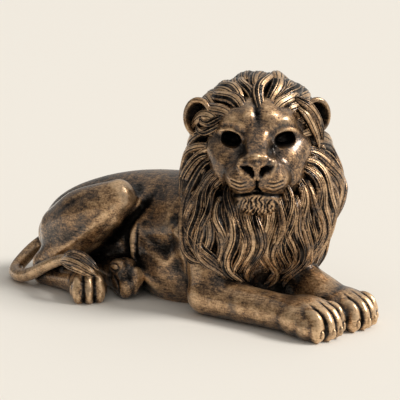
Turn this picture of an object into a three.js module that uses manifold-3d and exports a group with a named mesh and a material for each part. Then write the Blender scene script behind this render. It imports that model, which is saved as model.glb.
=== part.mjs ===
// A lion lying at rest with its head turned to its right, cast as one piece.
// Millimetres. +X is the way the body faces, +Y is the lion's left and +Z is up, and the flat
// underside lies in the plane z = 0 with the origin under the middle of the belly.
import * as THREE from "three";
import { mergeVertices } from "three/addons/utils/BufferGeometryUtils.js";
import Module from "manifold-3d";

const wasm = await Module();
wasm.setup();

// Driving dimensions of the head, in its own frame: x out of the face, y to the lion's left, z up.
// The face is turned a little further than the skull, and its left ear is half under the hair.
const HEAD_CENTRE = [55, 1, 127];
const HEAD_TURN = THREE.MathUtils.degToRad(-55);
const HEAD_LIFT = THREE.MathUtils.degToRad(6);
const FACE_TURN = THREE.MathUtils.degToRad(-4.5);
const FACE_SHIFT = 1.5;
const LEFT_EAR_OUT = 45.5;
const RIGHT_EAR_OUT = -48;
const EAR_HEIGHT = 26;
const EAR_RADIUS = 14.5;
const EAR_TURN = 0.42;

// Driving dimensions of the paws, the tail and the height of the block that trims the underside.
const FORE_PAW = { length: 52, width: 42, height: 28 };
const HIND_PAW = { length: 36, width: 30, height: 26 };
const TAIL_AT_RUMP = 6.5;
const TAIL_AT_TUFT = 4.2;
const TRIM = 600;

// The bulk under the hair, in the head's frame: crown, ruff, bib on the chest, and nape.
const HOOD = [
  { centre: [-12, 2, 7], half: [42, 51, 53] },
  { centre: [-10, 6, -28], half: [40, 61, 46] },
  { centre: [2, 5, -58], half: [34, 51, 60] },
  { centre: [-30, -16, -22], half: [46, 37, 44] },
];
const HOOD_MIDDLE = new THREE.Vector3(-8, 0, -12);
const HOOD_BLEND = 5;

// The parts of the body that the mane hangs over, in the lion's frame.
const BREAST = { centre: [39, -34, 62], half: [22, 17, 40], tip: -0.2 };
const CHEST = { centre: [42, -9, 50], half: [44, 38, 50], tip: 0 };

// Rings of locks from the edge of the face back to the withers. Open is the angle in degrees from
// the face's axis at which the ring is rooted at the sides; it is larger by tilt at the crown and
// smaller by tilt at the chin. Bottom is the height in the head's frame where the locks end.
const RINGS = [
  { open: 45, tilt: 11, count: 12, length: 100, width: 9, bottom: -98, steps: 3 },
  { open: 67, tilt: 11, count: 10, length: 104, width: 10.5, bottom: -94, steps: 3 },
  { open: 94, tilt: 7, count: 8, length: 84, width: 12, bottom: -66, steps: 3 },
  { open: 130, tilt: 4, count: 5, length: 66, width: 13, bottom: -42, steps: 2 },
];
const LOCK_THICKNESS = 6;
const LOCK_STEPS = 20;

// The mane's outline from in front: this half width about an axis a little left of the face's, and
// below its waist it narrows by the taper, ever faster.
const MANE_AXIS = 5;
const MANE_HALF = 60;
const MANE_WAIST = 50;
const MANE_TAPER = 20;

// A geometry as a closed solid that can be joined and cut.
function solid(geometry) {
  const bare = geometry.clone();
  bare.deleteAttribute("normal");
  bare.deleteAttribute("uv");
  const merged = mergeVertices(bare, 1e-4);
  const corners = Array.from(merged.index.array);
  const triangles = [];
  for (let i = 0; i < corners.length; i += 3) {
    const [a, b, c] = corners.slice(i, i + 3);
    if (a !== b && b !== c && c !== a) triangles.push(a, b, c);
  }
  return new wasm.Manifold(
    new wasm.Mesh({
      numProp: 3,
      vertProperties: new Float32Array(merged.attributes.position.array),
      triVerts: new Uint32Array(triangles),
    }),
  );
}

// The solid as a geometry again.
function geometryOf(manifold) {
  const mesh = manifold.getMesh();
  const geometry = new THREE.BufferGeometry();
  const points = new Float32Array(mesh.vertProperties);
  geometry.setAttribute("position", new THREE.BufferAttribute(points, 3));
  geometry.setIndex(new THREE.BufferAttribute(new Uint32Array(mesh.triVerts), 1));
  return geometry;
}

const join = (solids) => solids.reduce((all, one) => all.add(one));

// A round mass of flesh: an ellipsoid with half sizes along x, y and z, turned about z then tipped.
function mass([x, y, z], [a, b, c], { turn = 0, tip = 0, sides = 12, rows = 8 } = {}) {
  const angles = new THREE.Euler(0, -tip, turn, "ZYX");
  return new THREE.SphereGeometry(1, sides, rows)
    .scale(a, b, c)
    .applyMatrix4(new THREE.Matrix4().makeRotationFromEuler(angles))
    .translate(x, y, z);
}

// A bar of flesh bent along a smooth line. Each point is x, y, z, half width and half height, and
// the width is level unless up says which way the height goes.
function limb(points, { sides = 12, steps = 8, up = [0, 0, 1], blunt = 0.7, caps = 2 } = {}) {
  const line = new THREE.CatmullRomCurve3(points.map((p) => new THREE.Vector3(p[0], p[1], p[2])));
  const sizes = new THREE.CatmullRomCurve3(
    points.map((p) => new THREE.Vector3(p[3], p[4] ?? p[3], 0)),
  );
  const geometry = new THREE.CapsuleGeometry(1, 1, caps, sides, steps);
  const place = geometry.attributes.position;
  const point = new THREE.Vector3();
  for (let i = 0; i < place.count; i++) {
    point.fromBufferAttribute(place, i);
    const share = THREE.MathUtils.clamp(point.y + 0.5, 0, 1);
    const cap = point.y - THREE.MathUtils.clamp(point.y, -0.5, 0.5);
    const along = line.getTangent(share);
    const side = new THREE.Vector3(...up).cross(along).normalize();
    const over = along.clone().cross(side);
    const size = sizes.getPoint(share);
    const at = line
      .getPoint(share)
      .addScaledVector(along, cap * blunt * Math.min(size.x, size.y))
      .addScaledVector(side, point.x * size.x)
      .addScaledVector(over, -point.z * size.y);
    place.setXYZ(i, at.x, at.y, at.z);
  }
  return geometry;
}

const headPlace = new THREE.Matrix4()
  .makeRotationFromEuler(new THREE.Euler(0, -HEAD_LIFT, HEAD_TURN, "ZYX"))
  .setPosition(...HEAD_CENTRE);

// The body from the chest to the root of the tail, with its flat belly roll.
function torso() {
  return [
    limb(
      [
        [64, -12, 46, 32, 44],
        [30, -6, 50, 40, 54],
        [-20, 0, 50, 41, 53],
        [-60, 0, 48, 38, 51],
        [-92, -4, 44, 35, 47],
        [-118, -14, 36, 32, 42],
        [-136, -24, 25, 25, 30],
      ],
      { sides: 12, steps: 7, blunt: 0.6 },
    ),
    mass([-6, -18, 26], [44, 27, 34], { sides: 10, rows: 6 }),
    mass([30, -34, 62], [34, 17, 40], { tip: -0.2, sides: 10, rows: 6 }),
    mass([30, 26, 62], [34, 17, 40], { tip: -0.2, sides: 8, rows: 5 }),
    mass(CHEST.centre, CHEST.half, { tip: CHEST.tip, sides: 10, rows: 6 }),
  ];
}

// The hind quarters: the right thigh on top with its folded shank, the left hip flat on the ground.
function hindQuarters() {
  return [
    limb(
      [
        [-49, -43, 86, 13, 14],
        [-64, -46, 75, 18, 21],
        [-88, -47, 60, 20, 27],
        [-118, -42, 41, 19, 26],
      ],
      { sides: 12, steps: 6, blunt: 0.8 },
    ),
    limb(
      [
        [-54, -48, 72, 10, 14],
        [-92, -54, 44, 12, 15],
        [-128, -56, 16, 10, 12],
      ],
      { sides: 8, steps: 4 },
    ),
    limb(
      [
        [-130, -56, 9, 9, 10],
        [-102, -60, 10, 9, 10],
        [-74, -66, 12, 11, 12],
      ],
      { sides: 8, steps: 4 },
    ),
    limb(
      [
        [-84, -22, 14, 14, 14],
        [-56, -38, 14, 11, 14],
        [-42, -46, 15, 10, 14],
      ],
      { sides: 8, steps: 3 },
    ),
    limb(
      [
        [-120, 8, 30, 26, 30],
        [-92, 24, 36, 27, 38],
        [-60, 34, 28, 19, 28],
        [-38, 34, 18, 13, 18],
      ],
      { sides: 12, steps: 6 },
    ),
  ];
}

// The right arm bears the chest and the left lies a little further forward.
function foreLegs() {
  const upright = [1, 0, 0];
  return [
    limb(
      [
        [32, -36, 76, 14, 20],
        [36, -42, 44, 15, 18],
        [41, -45, 20, 15, 16],
      ],
      { up: upright, sides: 10, steps: 3, blunt: 1 },
    ),
    limb(
      [
        [38, -47, 16, 15, 16],
        [72, -47, 15, 14, 15],
        [106, -46, 14, 15, 14],
        [124, -44, 14, 18, 14],
      ],
      { sides: 10, steps: 4, blunt: 1 },
    ),
    limb(
      [
        [38, 28, 70, 13, 20],
        [44, 24, 24, 16, 20],
      ],
      { up: upright, sides: 8, steps: 2 },
    ),
    limb(
      [
        [50, 24, 24, 17, 24],
        [84, 11, 22, 15, 22],
        [112, -1, 19, 15, 19],
        [130, -7, 16, 17, 16],
      ],
      { sides: 10, steps: 4 },
    ),
  ];
}

// A paw whose toes point along its own +X, from the middle of its sole: a broad pad parted in front
// into short, blunt and tall toes, the outer ones set back.
function paw({ length, width, height }, [x, y], turn, toes = 4) {
  const half = length / 2;
  const thick = (width / toes / 2) * 1.1;
  const parts = [
    mass([-half * 0.15, 0, height * 0.45], [half, width * 0.5, height * 0.56], {
      sides: 10,
      rows: 6,
    }),
  ];
  for (let i = 0; i < toes; i++) {
    const side = (i / (toes - 1)) * 2 - 1;
    const out = side * (width / 2 - thick);
    const reach = half * (1 - 0.18 * side * side);
    parts.push(
      limb(
        [
          [half * 0.12, out * 0.95, height * 0.5, thick, height * 0.34],
          [reach * 0.5, out, height * 0.5, thick, height * 0.38],
          [reach * 0.8, out, height * 0.33, thick, height * 0.36],
        ],
        { sides: 5, steps: 1, caps: 1 },
      ),
    );
  }
  const place = new THREE.Matrix4().makeRotationZ(turn).setPosition(x, y, 0);
  return parts.map((part) => part.applyMatrix4(place));
}

// The left hind paw, seen on its side under the belly: a round knuckle over two pads.
function tuckedPaw() {
  const coarse = { sides: 7, rows: 4 };
  return [
    mass([-44, -47, 17], [13, 11, 17], coarse),
    mass([-47, -52, 27], [10, 7, 6.5], { turn: -0.4, tip: 0.35, ...coarse }),
    mass([-39, -53, 11], [8, 6, 10], coarse),
    mass([-33, -47, 15], [6, 7, 12], coarse),
  ];
}

function paws() {
  return [
    ...paw(FORE_PAW, [131, -43], -0.1),
    ...paw(FORE_PAW, [140, -6], -0.04),
    ...paw(HIND_PAW, [-64, -71], -0.8, 3),
    ...tuckedPaw(),
  ];
}

// The tail leaves the rump, bends on the ground and lies over the hock, ending in a tuft.
function tail() {
  const bend = [
    [-140, -20, 38],
    [-160, -32, 22],
    [-162, -54, 8],
    [-146, -67, 7],
    [-128, -71, 12],
    [-109, -74, 22],
    [-92, -75, 30],
    [-78, -77, 35],
  ];
  const radius = (i) => THREE.MathUtils.lerp(TAIL_AT_RUMP, TAIL_AT_TUFT, i / (bend.length - 1));
  return [
    limb(
      bend.map((point, i) => [...point, radius(i)]),
      { sides: 6, steps: 12, caps: 1 },
    ),
    limb(
      [
        [-86, -77, 33, 4.5, 4.5],
        [-72, -80, 37, 7, 7],
        [-60, -81.5, 35, 8, 7],
        [-47, -80, 27, 3, 3.5],
      ],
      { sides: 6, steps: 4, caps: 1 },
    ),
  ];
}

const facePlace = new THREE.Matrix4().makeRotationZ(FACE_TURN).setPosition(0, FACE_SHIFT, 0);

// An ear: a shallow cup, open to the front and outwards.
function ear(side, out) {
  const turn = side * EAR_TURN;
  const sides = 8;
  const cup = mass([3, out, EAR_HEIGHT], [7, EAR_RADIUS * 0.96, EAR_RADIUS * 1.14], { turn, sides });
  const hollow = mass([11, out, EAR_HEIGHT], [8, EAR_RADIUS * 0.66, EAR_RADIUS * 0.8], {
    turn,
    sides,
    rows: 6,
  });
  return solid(cup).subtract(solid(hollow));
}

// The head in its own frame: a broad skull, a long flat nose over full lips, a chin, cheeks, brows
// and deep hollow eyes.
function head() {
  const both = (make) => [make(1), make(-1)].flat();
  const form = { sides: 9, rows: 5 };
  const masses = [
    mass([-4, 0, 12], [36, 41, 37], { sides: 12, rows: 6 }),
    mass([10, 0, 24], [23, 29, 19], form),
    mass([37, 0, 7], [24, 11, 9], { tip: -0.68, ...form }),
    mass([28, 0, -14], [25, 20, 17], form),
    mass([51, 0, -7], [7, 14, 7.5], { sides: 8, rows: 5 }),
    mass([18, 0, -34], [25, 22, 15], form),
    mass([35, 0, -40], [10, 19, 9], form),
    ...both((side) => [
      mass([20, side * 13, 24], [12, 14, 8], { sides: 8, rows: 5 }),
      mass([8, side * 28, 2], [18, 15, 17], form),
      mass([18, side * 20, -7], [15, 15, 15], form),
      mass([8, side * 24, -18], [23, 16, 20], form),
      mass([40, side * 11, -19], [14, 14, 11], form),
    ]),
  ];
  const eyes = both((side) => mass([30, side * 21, 10.5], [13, 8.5, 5.6], { sides: 8, rows: 5 }));
  const skull = join(masses.map(solid)).subtract(join(eyes.map(solid)));
  return join([skull, ear(1, LEFT_EAR_OUT), ear(-1, RIGHT_EAR_OUT)]).transform(facePlace.elements);
}

const placeOf = ({ centre, tip = 0 }) =>
  new THREE.Matrix4().makeRotationY(-tip).setPosition(...centre);

// What the hair lies on. Each mass has the matrix that brings a point of the head's frame into its own.
const underMane = [
  ...HOOD.map((one) => ({ half: one.half, into: placeOf(one).invert() })),
  ...[BREAST, CHEST].map((one) => ({
    half: one.half,
    into: placeOf(one).invert().multiply(headPlace),
  })),
];

// How far a point of the head's frame stands off the blended masses, negative inside them.
function standOff(point) {
  let sum = 0;
  for (const { half, into } of underMane) {
    const size = new THREE.Vector3(...half);
    const near = point.clone().applyMatrix4(into).divide(size);
    const slope = near.clone().divide(size).length();
    sum += Math.exp(-((near.length() * (near.length() - 1)) / slope) / HOOD_BLEND);
  }
  return -HOOD_BLEND * Math.log(sum);
}

function outward(point) {
  const step = 0.5;
  const rise = (x, y, z) => standOff(point.clone().add(new THREE.Vector3(x, y, z)));
  return new THREE.Vector3(
    rise(step, 0, 0) - rise(-step, 0, 0),
    rise(0, step, 0) - rise(0, -step, 0),
    rise(0, 0, step) - rise(0, 0, -step),
  ).normalize();
}

// A repeatable share from 0 to 1 for one lock.
const chance = (seed) => {
  const wave = Math.sin(seed * 12.9898 + 4.1) * 437.585;
  return wave - Math.floor(wave);
};

// How strongly a lock turns in towards the mane's axis, so that it keeps within the mane's outline.
function inward({ y, z }) {
  const low = THREE.MathUtils.clamp((-z - MANE_WAIST) / MANE_WAIST, 0, 1);
  const spread = (y - MANE_AXIS) / (MANE_HALF - MANE_TAPER * Math.pow(low, 1.6));
  const edge = Math.min(Math.abs(spread), 1);
  const narrowing = ((MANE_TAPER * 1.6) / MANE_WAIST) * Math.pow(low, 0.6) * edge;
  return -spread * (narrowing + 6 * THREE.MathUtils.clamp(Math.abs(spread) - 0.95, 0, 1));
}

// The line that a lock follows: sunk at its root, away from the face first, parted to both sides at
// the crown, then down in a wave, kept on what it lies on.
function lockLine(turn, open, length, seed) {
  const rootDepth = 3;
  const sinkShare = 0.12;
  const waveLength = 70;
  const waveTurn = 0.55;
  const toRoot = new THREE.Vector3(
    Math.cos(open),
    Math.sin(open) * Math.sin(turn),
    Math.sin(open) * Math.cos(turn),
  );
  let reach = 150;
  for (let i = 0; i < 30; i++) {
    reach -= standOff(HOOD_MIDDLE.clone().addScaledVector(toRoot, reach));
  }
  const at = HOOD_MIDDLE.clone().addScaledVector(toRoot, reach);
  const crown = Math.max(Math.cos(turn), 0);
  const line = [];
  for (let i = 0; i <= LOCK_STEPS; i++) {
    const share = i / LOCK_STEPS;
    const up = outward(at);
    const gap = 1 - rootDepth * Math.exp(-share / sinkShare) - standOff(at);
    at.addScaledVector(up, gap > -3 ? gap : gap * 0.25);
    line.push({ at: at.clone(), up });
    const fall = 0.42 - 0.52 * Math.cos(turn) + share * (2.2 - 1.5 * crown);
    const down = THREE.MathUtils.clamp(fall, 0, 1);
    const back = -0.15 * (1 - share) - 0.65 * crown;
    const aside = inward(at) + 0.35 * crown * Math.sin(2 * turn);
    const course = new THREE.Vector3(0, at.y, at.z - HOOD_MIDDLE.z)
      .normalize()
      .multiplyScalar(1 - down)
      .add(new THREE.Vector3(back, aside, -down));
    course.addScaledVector(up, -course.dot(up)).normalize();
    const wave = Math.sin(2 * Math.PI * ((share * length) / waveLength + chance(seed)));
    course.applyAxisAngle(up, waveTurn * Math.sqrt(share) * wave);
    at.addScaledVector(course, length / LOCK_STEPS);
  }
  return line;
}

// A lock of hair: a flat bar on its line, widest near the root and drawn out to a point.
function lock(line, width, thickness, steps) {
  const geometry = new THREE.CapsuleGeometry(1, 1, 1, 4, steps);
  const middles = new THREE.CatmullRomCurve3(line.map(({ at }) => at));
  const ups = new THREE.CatmullRomCurve3(line.map(({ up }) => up));
  const place = geometry.attributes.position;
  const point = new THREE.Vector3();
  for (let i = 0; i < place.count; i++) {
    point.fromBufferAttribute(place, i);
    const share = THREE.MathUtils.clamp(point.y + 0.5, 0, 1);
    const cap = point.y - THREE.MathUtils.clamp(point.y, -0.5, 0.5);
    const taper = Math.min(1, 0.6 + 2 * share) * Math.pow(1.02 - Math.pow(share, 2.2), 0.8);
    const along = middles.getTangent(share);
    const side = ups.getPoint(share).cross(along).normalize();
    const over = along.clone().cross(side);
    const at = middles
      .getPoint(share)
      .addScaledVector(along, cap * thickness * taper)
      .addScaledVector(side, point.x * width * taper)
      .addScaledVector(over, -point.z * thickness * taper);
    place.setXYZ(i, at.x, at.y, at.z);
  }
  return geometry;
}

// One ring's locks, each shortened until its line ends about at the ring's bottom.
function ringOfLocks({ open, tilt, count, length, width, bottom, steps }, ring) {
  return Array.from({ length: count }, (_, i) => {
    const turn = ((i + (ring % 2) / 2) / count) * 2 * Math.PI;
    const angle = THREE.MathUtils.degToRad(open + tilt * Math.cos(turn));
    const seed = ring * 40 + i;
    let reach = length * (0.85 + 0.3 * chance(seed + 7)) * (0.68 + 0.42 * Math.sin(turn) ** 2);
    let line = lockLine(turn, angle, reach, seed);
    for (let pass = 0; pass < 3; pass++) {
      const above = line.filter(({ at }) => at.z > bottom).length / line.length;
      reach *= Math.max(above, 0.3);
      line = lockLine(turn, angle, reach, seed);
    }
    return lock(line, width, LOCK_THICKNESS, steps);
  });
}

// The bulk is hollowed in front to take the face, and the locks lie on it.
function mane() {
  const bulk = join(HOOD.map(({ centre, half }) => solid(mass(centre, half, { sides: 12, rows: 6 }))));
  const faceRoom = solid(mass([66, 0, -4], [46, 40, 48], { sides: 10, rows: 6 }));
  return [bulk.subtract(faceRoom), ...RINGS.flatMap(ringOfLocks).map(solid)];
}

const body = [...torso(), ...hindQuarters(), ...foreLegs(), ...paws(), ...tail()].map(solid);
const headAndMane = join([head(), ...mane()]).transform(headPlace.elements);
const aboveGround = solid(new THREE.BoxGeometry(TRIM, TRIM, TRIM).translate(0, 0, TRIM / 2));

// Pockets closed in between the locks are filled: only outer skins are kept.
const skins = join([...body, headAndMane]).intersect(aboveGround).decompose();
const cast = join(skins.filter((skin) => skin.volume() > 0));

const bronze = new THREE.MeshStandardMaterial({
  name: "patinated_bronze",
  color: 0x6b4a2f,
  roughness: 0.4,
  metalness: 0.8,
});
const lion = new THREE.Mesh(geometryOf(cast), bronze);
lion.name = "lion";

const group = new THREE.Group();
group.add(lion);
export default group;
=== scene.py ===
import math

import bpy
import numpy as np
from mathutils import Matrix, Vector


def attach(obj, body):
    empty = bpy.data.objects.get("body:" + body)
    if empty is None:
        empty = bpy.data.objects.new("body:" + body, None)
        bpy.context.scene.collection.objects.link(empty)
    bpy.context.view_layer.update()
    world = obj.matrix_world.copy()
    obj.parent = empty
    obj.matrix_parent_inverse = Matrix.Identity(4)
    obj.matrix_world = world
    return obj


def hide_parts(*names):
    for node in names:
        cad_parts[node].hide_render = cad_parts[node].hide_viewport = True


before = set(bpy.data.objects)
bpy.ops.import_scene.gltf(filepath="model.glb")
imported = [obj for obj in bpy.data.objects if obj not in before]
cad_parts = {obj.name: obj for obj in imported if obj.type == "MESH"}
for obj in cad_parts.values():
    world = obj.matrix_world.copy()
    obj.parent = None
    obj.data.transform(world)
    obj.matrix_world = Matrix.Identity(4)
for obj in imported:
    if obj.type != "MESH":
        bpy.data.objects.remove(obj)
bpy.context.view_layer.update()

scene = bpy.context.scene
MM = 0.001

# The studio: the lion lies on a wide plain floor of warm off-white paper, lit by soft daylight all
# round and by one large soft lamp high on the viewer's right. The lens is a short telephoto.
FLOOR_HALF = 9.0
FLOOR_COLOUR = (0.83, 0.80, 0.745, 1.0)
CAMERA_AZIMUTH = math.radians(35)
CAMERA_ELEVATION = math.radians(12)
CAMERA_DISTANCE = 0.93
CAMERA_TARGET = Vector((0, 0, 0.08))
LENS = 100


def direction(azimuth, elevation):
    """The unit vector that points from the lion to a viewer at that azimuth and elevation."""
    level = math.cos(elevation)
    return Vector((math.sin(azimuth) * level, -math.cos(azimuth) * level, math.sin(elevation)))


def far_lamp(name, azimuth, elevation, spread, strength, colour):
    """A lamp so far off that its light falls evenly, seen from the lion as a disc of that spread."""
    light = bpy.data.lights.new(name, "SUN")
    light.angle = math.radians(spread)
    light.energy = strength
    light.color = colour
    lamp = bpy.data.objects.new(name, light)
    scene.collection.objects.link(lamp)
    toward = direction(math.radians(azimuth), math.radians(elevation))
    lamp.location = toward
    lamp.rotation_euler = toward.to_track_quat("Z", "Y").to_euler()


def paper_floor():
    """A flat square at z = 0."""
    mesh = bpy.data.meshes.new("paper_floor")
    half = FLOOR_HALF
    corners = [(-half, -half, 0), (half, -half, 0), (half, half, 0), (-half, half, 0)]
    mesh.from_pydata(corners, [], [(0, 1, 2, 3)])
    floor = bpy.data.objects.new("paper_floor", mesh)
    scene.collection.objects.link(floor)
    paper = bpy.data.materials.new("warm_paper")
    paper.use_nodes = True
    shader = paper.node_tree.nodes["Principled BSDF"]
    shader.inputs["Base Color"].default_value = FLOOR_COLOUR
    shader.inputs["Roughness"].default_value = 0.85
    shader.inputs["Specular IOR Level"].default_value = 0.2
    mesh.materials.append(paper)
    return floor


paper_floor()

far_lamp("window", azimuth=112, elevation=42, spread=22, strength=2.62, colour=(1.0, 0.972, 0.93))

world = bpy.data.worlds.new("studio")
scene.world = world
world.use_nodes = True

# The room's own light grows from a dim side, low on the viewer's left, to a bright one, high on
# the right.
ROOM_BRIGHT_SIDE = direction(math.radians(125), math.radians(50))
room_nodes = world.node_tree.nodes
room_links = world.node_tree.links
background = room_nodes["Background"]
background.inputs["Color"].default_value = (1.0, 0.97, 0.92, 1.0)
room_way = room_nodes.new("ShaderNodeTexCoord")
room_side = room_nodes.new("ShaderNodeVectorMath")
room_side.operation = "DOT_PRODUCT"
room_side.inputs[1].default_value = ROOM_BRIGHT_SIDE
room_links.new(room_way.outputs["Generated"], room_side.inputs[0])
room_level = room_nodes.new("ShaderNodeMapRange")
room_level.interpolation_type = "SMOOTHSTEP"
for limit, number in (("From Min", -0.5), ("From Max", 1.0), ("To Min", 0.17), ("To Max", 0.68)):
    room_level.inputs[limit].default_value = number
room_links.new(room_side.outputs["Value"], room_level.inputs["Value"])
room_links.new(room_level.outputs["Result"], background.inputs["Strength"])
scene.view_settings.view_transform = "Standard"

camera = bpy.data.objects.new("camera", bpy.data.cameras.new("camera"))
scene.collection.objects.link(camera)
scene.camera = camera
camera.data.lens = LENS
camera_way = direction(CAMERA_AZIMUTH, CAMERA_ELEVATION)
camera.location = CAMERA_TARGET + camera_way * CAMERA_DISTANCE
camera.rotation_euler = camera_way.to_track_quat("Z", "Y").to_euler()


# The metal: hollow cast bronze with an antique patina, near black in the hollows, brown on the
# flats and rubbed back to copper gold on the raised edges, mottled with grey, under a thin lacquer.
# Each piece's mesh carries an attribute, crest: 0 in the deepest hollow, 0.5 on a flat, 1 on a ridge.
# On the body and the face painted shade is taken off it, and on the crown's locks and the curls before
# the ears painted light is added to it.
PATINA = (
    (0.00, (0.003, 0.0027, 0.0024)),
    (0.28, (0.011, 0.0085, 0.0068)),
    (0.46, (0.062, 0.039, 0.024)),
    (0.60, (0.190, 0.106, 0.052)),
    (0.78, (0.470, 0.280, 0.134)),
    (1.00, (0.790, 0.535, 0.305)),
)
GREY_STAIN = (0.072, 0.066, 0.062, 1.0)
MOTTLE_SIZE = 7 * MM
SPECKLE_SIZE = 1.5 * MM
SCRATCH_SIZE = (6 * MM, 1.3 * MM, 1.3 * MM)
HAIRS_IN_STRAND = 3
STAIN_SIZE = 16 * MM


def patinated_bronze():
    """Crest plus two sizes of noise, and a third drawn out to scratches, picks the colour from the
    patina's scale, and a larger noise lays grey stains over it. On the mane |cos(n * strand)| parts each
    strand into n fine hairs; strand is 0 elsewhere. The hollows are dull, the rubbed metal is glossy."""
    material = bpy.data.materials.new("patinated_bronze")
    material.use_nodes = True
    nodes = material.node_tree.nodes
    links = material.node_tree.links
    shader = nodes["Principled BSDF"]

    def node(kind, **settings):
        made = nodes.new(kind)
        for key, value in settings.items():
            setattr(made, key, value)
        return made

    place = node("ShaderNodeTexCoord")

    def noise(size, detail, roughness=0.6, where=None):
        made = node("ShaderNodeTexNoise")
        links.new(where or place.outputs["Object"], made.inputs["Vector"])
        made.inputs["Scale"].default_value = 1 / size
        made.inputs["Detail"].default_value = detail
        made.inputs["Roughness"].default_value = roughness
        return made.outputs["Fac"]

    def ranged(value, low, high, to_low, to_high):
        made = node("ShaderNodeMapRange")
        links.new(value, made.inputs["Value"])
        limits = {"From Min": low, "From Max": high, "To Min": to_low, "To Max": to_high}
        for limit, number in limits.items():
            made.inputs[limit].default_value = number
        return made.outputs["Result"]

    def worked(operation, first, second=None):
        made = node("ShaderNodeMath", operation=operation)
        links.new(first, made.inputs[0])
        if isinstance(second, (int, float)):
            made.inputs[1].default_value = second
        elif second is not None:
            links.new(second, made.inputs[1])
        return made.outputs["Value"]

    crest = node("ShaderNodeAttribute", attribute_name="crest").outputs["Fac"]
    strand = node("ShaderNodeAttribute", attribute_name="strand").outputs["Fac"]
    hairs = worked("ABSOLUTE", worked("COSINE", worked("MULTIPLY", strand, HAIRS_IN_STRAND)))
    drawn_out = node("ShaderNodeVectorMath", operation="DIVIDE")
    links.new(place.outputs["Object"], drawn_out.inputs[0])
    drawn_out.inputs[1].default_value = SCRATCH_SIZE
    mottle = ranged(noise(MOTTLE_SIZE, 5, 0.7), 0.3, 0.7, -0.17, 0.17)
    speckle = ranged(noise(SPECKLE_SIZE, 3, 0.7), 0.3, 0.7, -0.15, 0.15)
    scratch = ranged(noise(1, 2, where=drawn_out.outputs["Vector"]), 0.3, 0.7, -0.14, 0.14)
    level = worked("ADD", worked("ADD", crest, mottle), worked("ADD", speckle, scratch))
    level = worked("ADD", level, ranged(hairs, 0.0, 1.0, -0.24, 0.04))

    scale = node("ShaderNodeValToRGB")
    links.new(level, scale.inputs["Fac"])
    stops = scale.color_ramp.elements
    for level_on_scale, _ in PATINA[1:-1]:
        stops.new(level_on_scale)
    for stop, (level_on_scale, colour) in zip(sorted(stops, key=lambda s: s.position), PATINA):
        stop.position = level_on_scale
        stop.color = (*colour, 1.0)

    stain = node("ShaderNodeMix", data_type="RGBA")
    links.new(ranged(noise(STAIN_SIZE, 5), 0.5, 0.68, 0.0, 0.62), stain.inputs["Factor"])
    links.new(scale.outputs["Color"], stain.inputs["A"])
    stain.inputs["B"].default_value = GREY_STAIN
    links.new(stain.outputs["Result"], shader.inputs["Base Color"])

    links.new(ranged(noise(MOTTLE_SIZE, 5), 0.3, 0.7, 0.25, 0.42), shader.inputs["Roughness"])
    shader.inputs["Metallic"].default_value = 0.72
    links.new(ranged(level, 0.15, 0.5, 0.0, 0.8), shader.inputs["Coat Weight"])
    links.new(ranged(level, 0.15, 0.5, 0.0, 0.5), shader.inputs["Specular IOR Level"])
    shader.inputs["Coat Roughness"].default_value = 0.13

    grain = node("ShaderNodeBump")
    links.new(worked("ADD", noise(SPECKLE_SIZE, 3, 0.7), hairs), grain.inputs["Height"])
    grain.inputs["Strength"].default_value = 0.5
    grain.inputs["Distance"].default_value = 0.3 * MM
    links.new(grain.outputs["Normal"], shader.inputs["Normal"])
    return material


bronze = patinated_bronze()


# The body: one casting from the chest to the tail, belly flat on the table, the right thigh folded
# over its shank, both fore legs stretched forward and the tail bent round the right hock.
# It is modelled as rounded masses of flesh, melted together, with folds and sinews drawn on it.
FLESH_VOXEL = 2.4
BODY_VOXEL = 0.95
BODY_FACES = 190000
FORE_PAW = {"length": 52, "width": 42, "height": 28}
HIND_PAW = {"length": 36, "width": 30, "height": 26}


def unit(vectors):
    """Vectors made a unit long."""
    return vectors / np.maximum(np.linalg.norm(vectors, axis=-1, keepdims=True), 1e-9)


def smooth_path(points, shares):
    """Catmull-Rom: between two neighbours a cubic goes through both, and its slope at each is half the
    step between that one's own neighbours. Shares run from 0 to 1 along the whole path."""
    points = np.asarray(points, float)
    padded = np.vstack([2 * points[0] - points[1], points, 2 * points[-1] - points[-2]])
    spans = len(points) - 1
    where = np.clip(shares, 0, 1) * spans
    first = np.minimum(where.astype(int), spans - 1)
    t = (where - first)[:, None]
    before, start, end, after = (padded[first + i] for i in range(4))
    bend = (end - before) * t
    bend += (2 * before - 5 * start + 4 * end - after) * t**2
    bend += (3 * start - before - 3 * end + after) * t**3
    return start + bend / 2


def tube_faces(rows, sides):
    """Triangles of a tube of rows of points, with its two end points last, all facing the same way."""
    row, side = np.meshgrid(np.arange(rows - 1), np.arange(sides), indexing="ij")
    a = (row * sides + side).ravel()
    b = (row * sides + (side + 1) % sides).ravel()
    c = b + sides
    d = a + sides
    ring = np.arange(sides)
    following = (ring + 1) % sides
    last = (rows - 1) * sides
    start = np.full(sides, rows * sides)
    end = start + 1
    return np.vstack(
        [
            np.column_stack([a, b, c]),
            np.column_stack([a, c, d]),
            np.column_stack([start, following, ring]),
            np.column_stack([end, last + ring, last + following]),
        ]
    )


def facing_out(points, faces):
    """The faces turned round if the volume they enclose comes out negative."""
    a, b, c = (points[faces[:, i]] for i in range(3))
    volume = np.einsum("ij,ij->", a, np.cross(b, c))
    return faces if volume > 0 else faces[:, ::-1]


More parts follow.
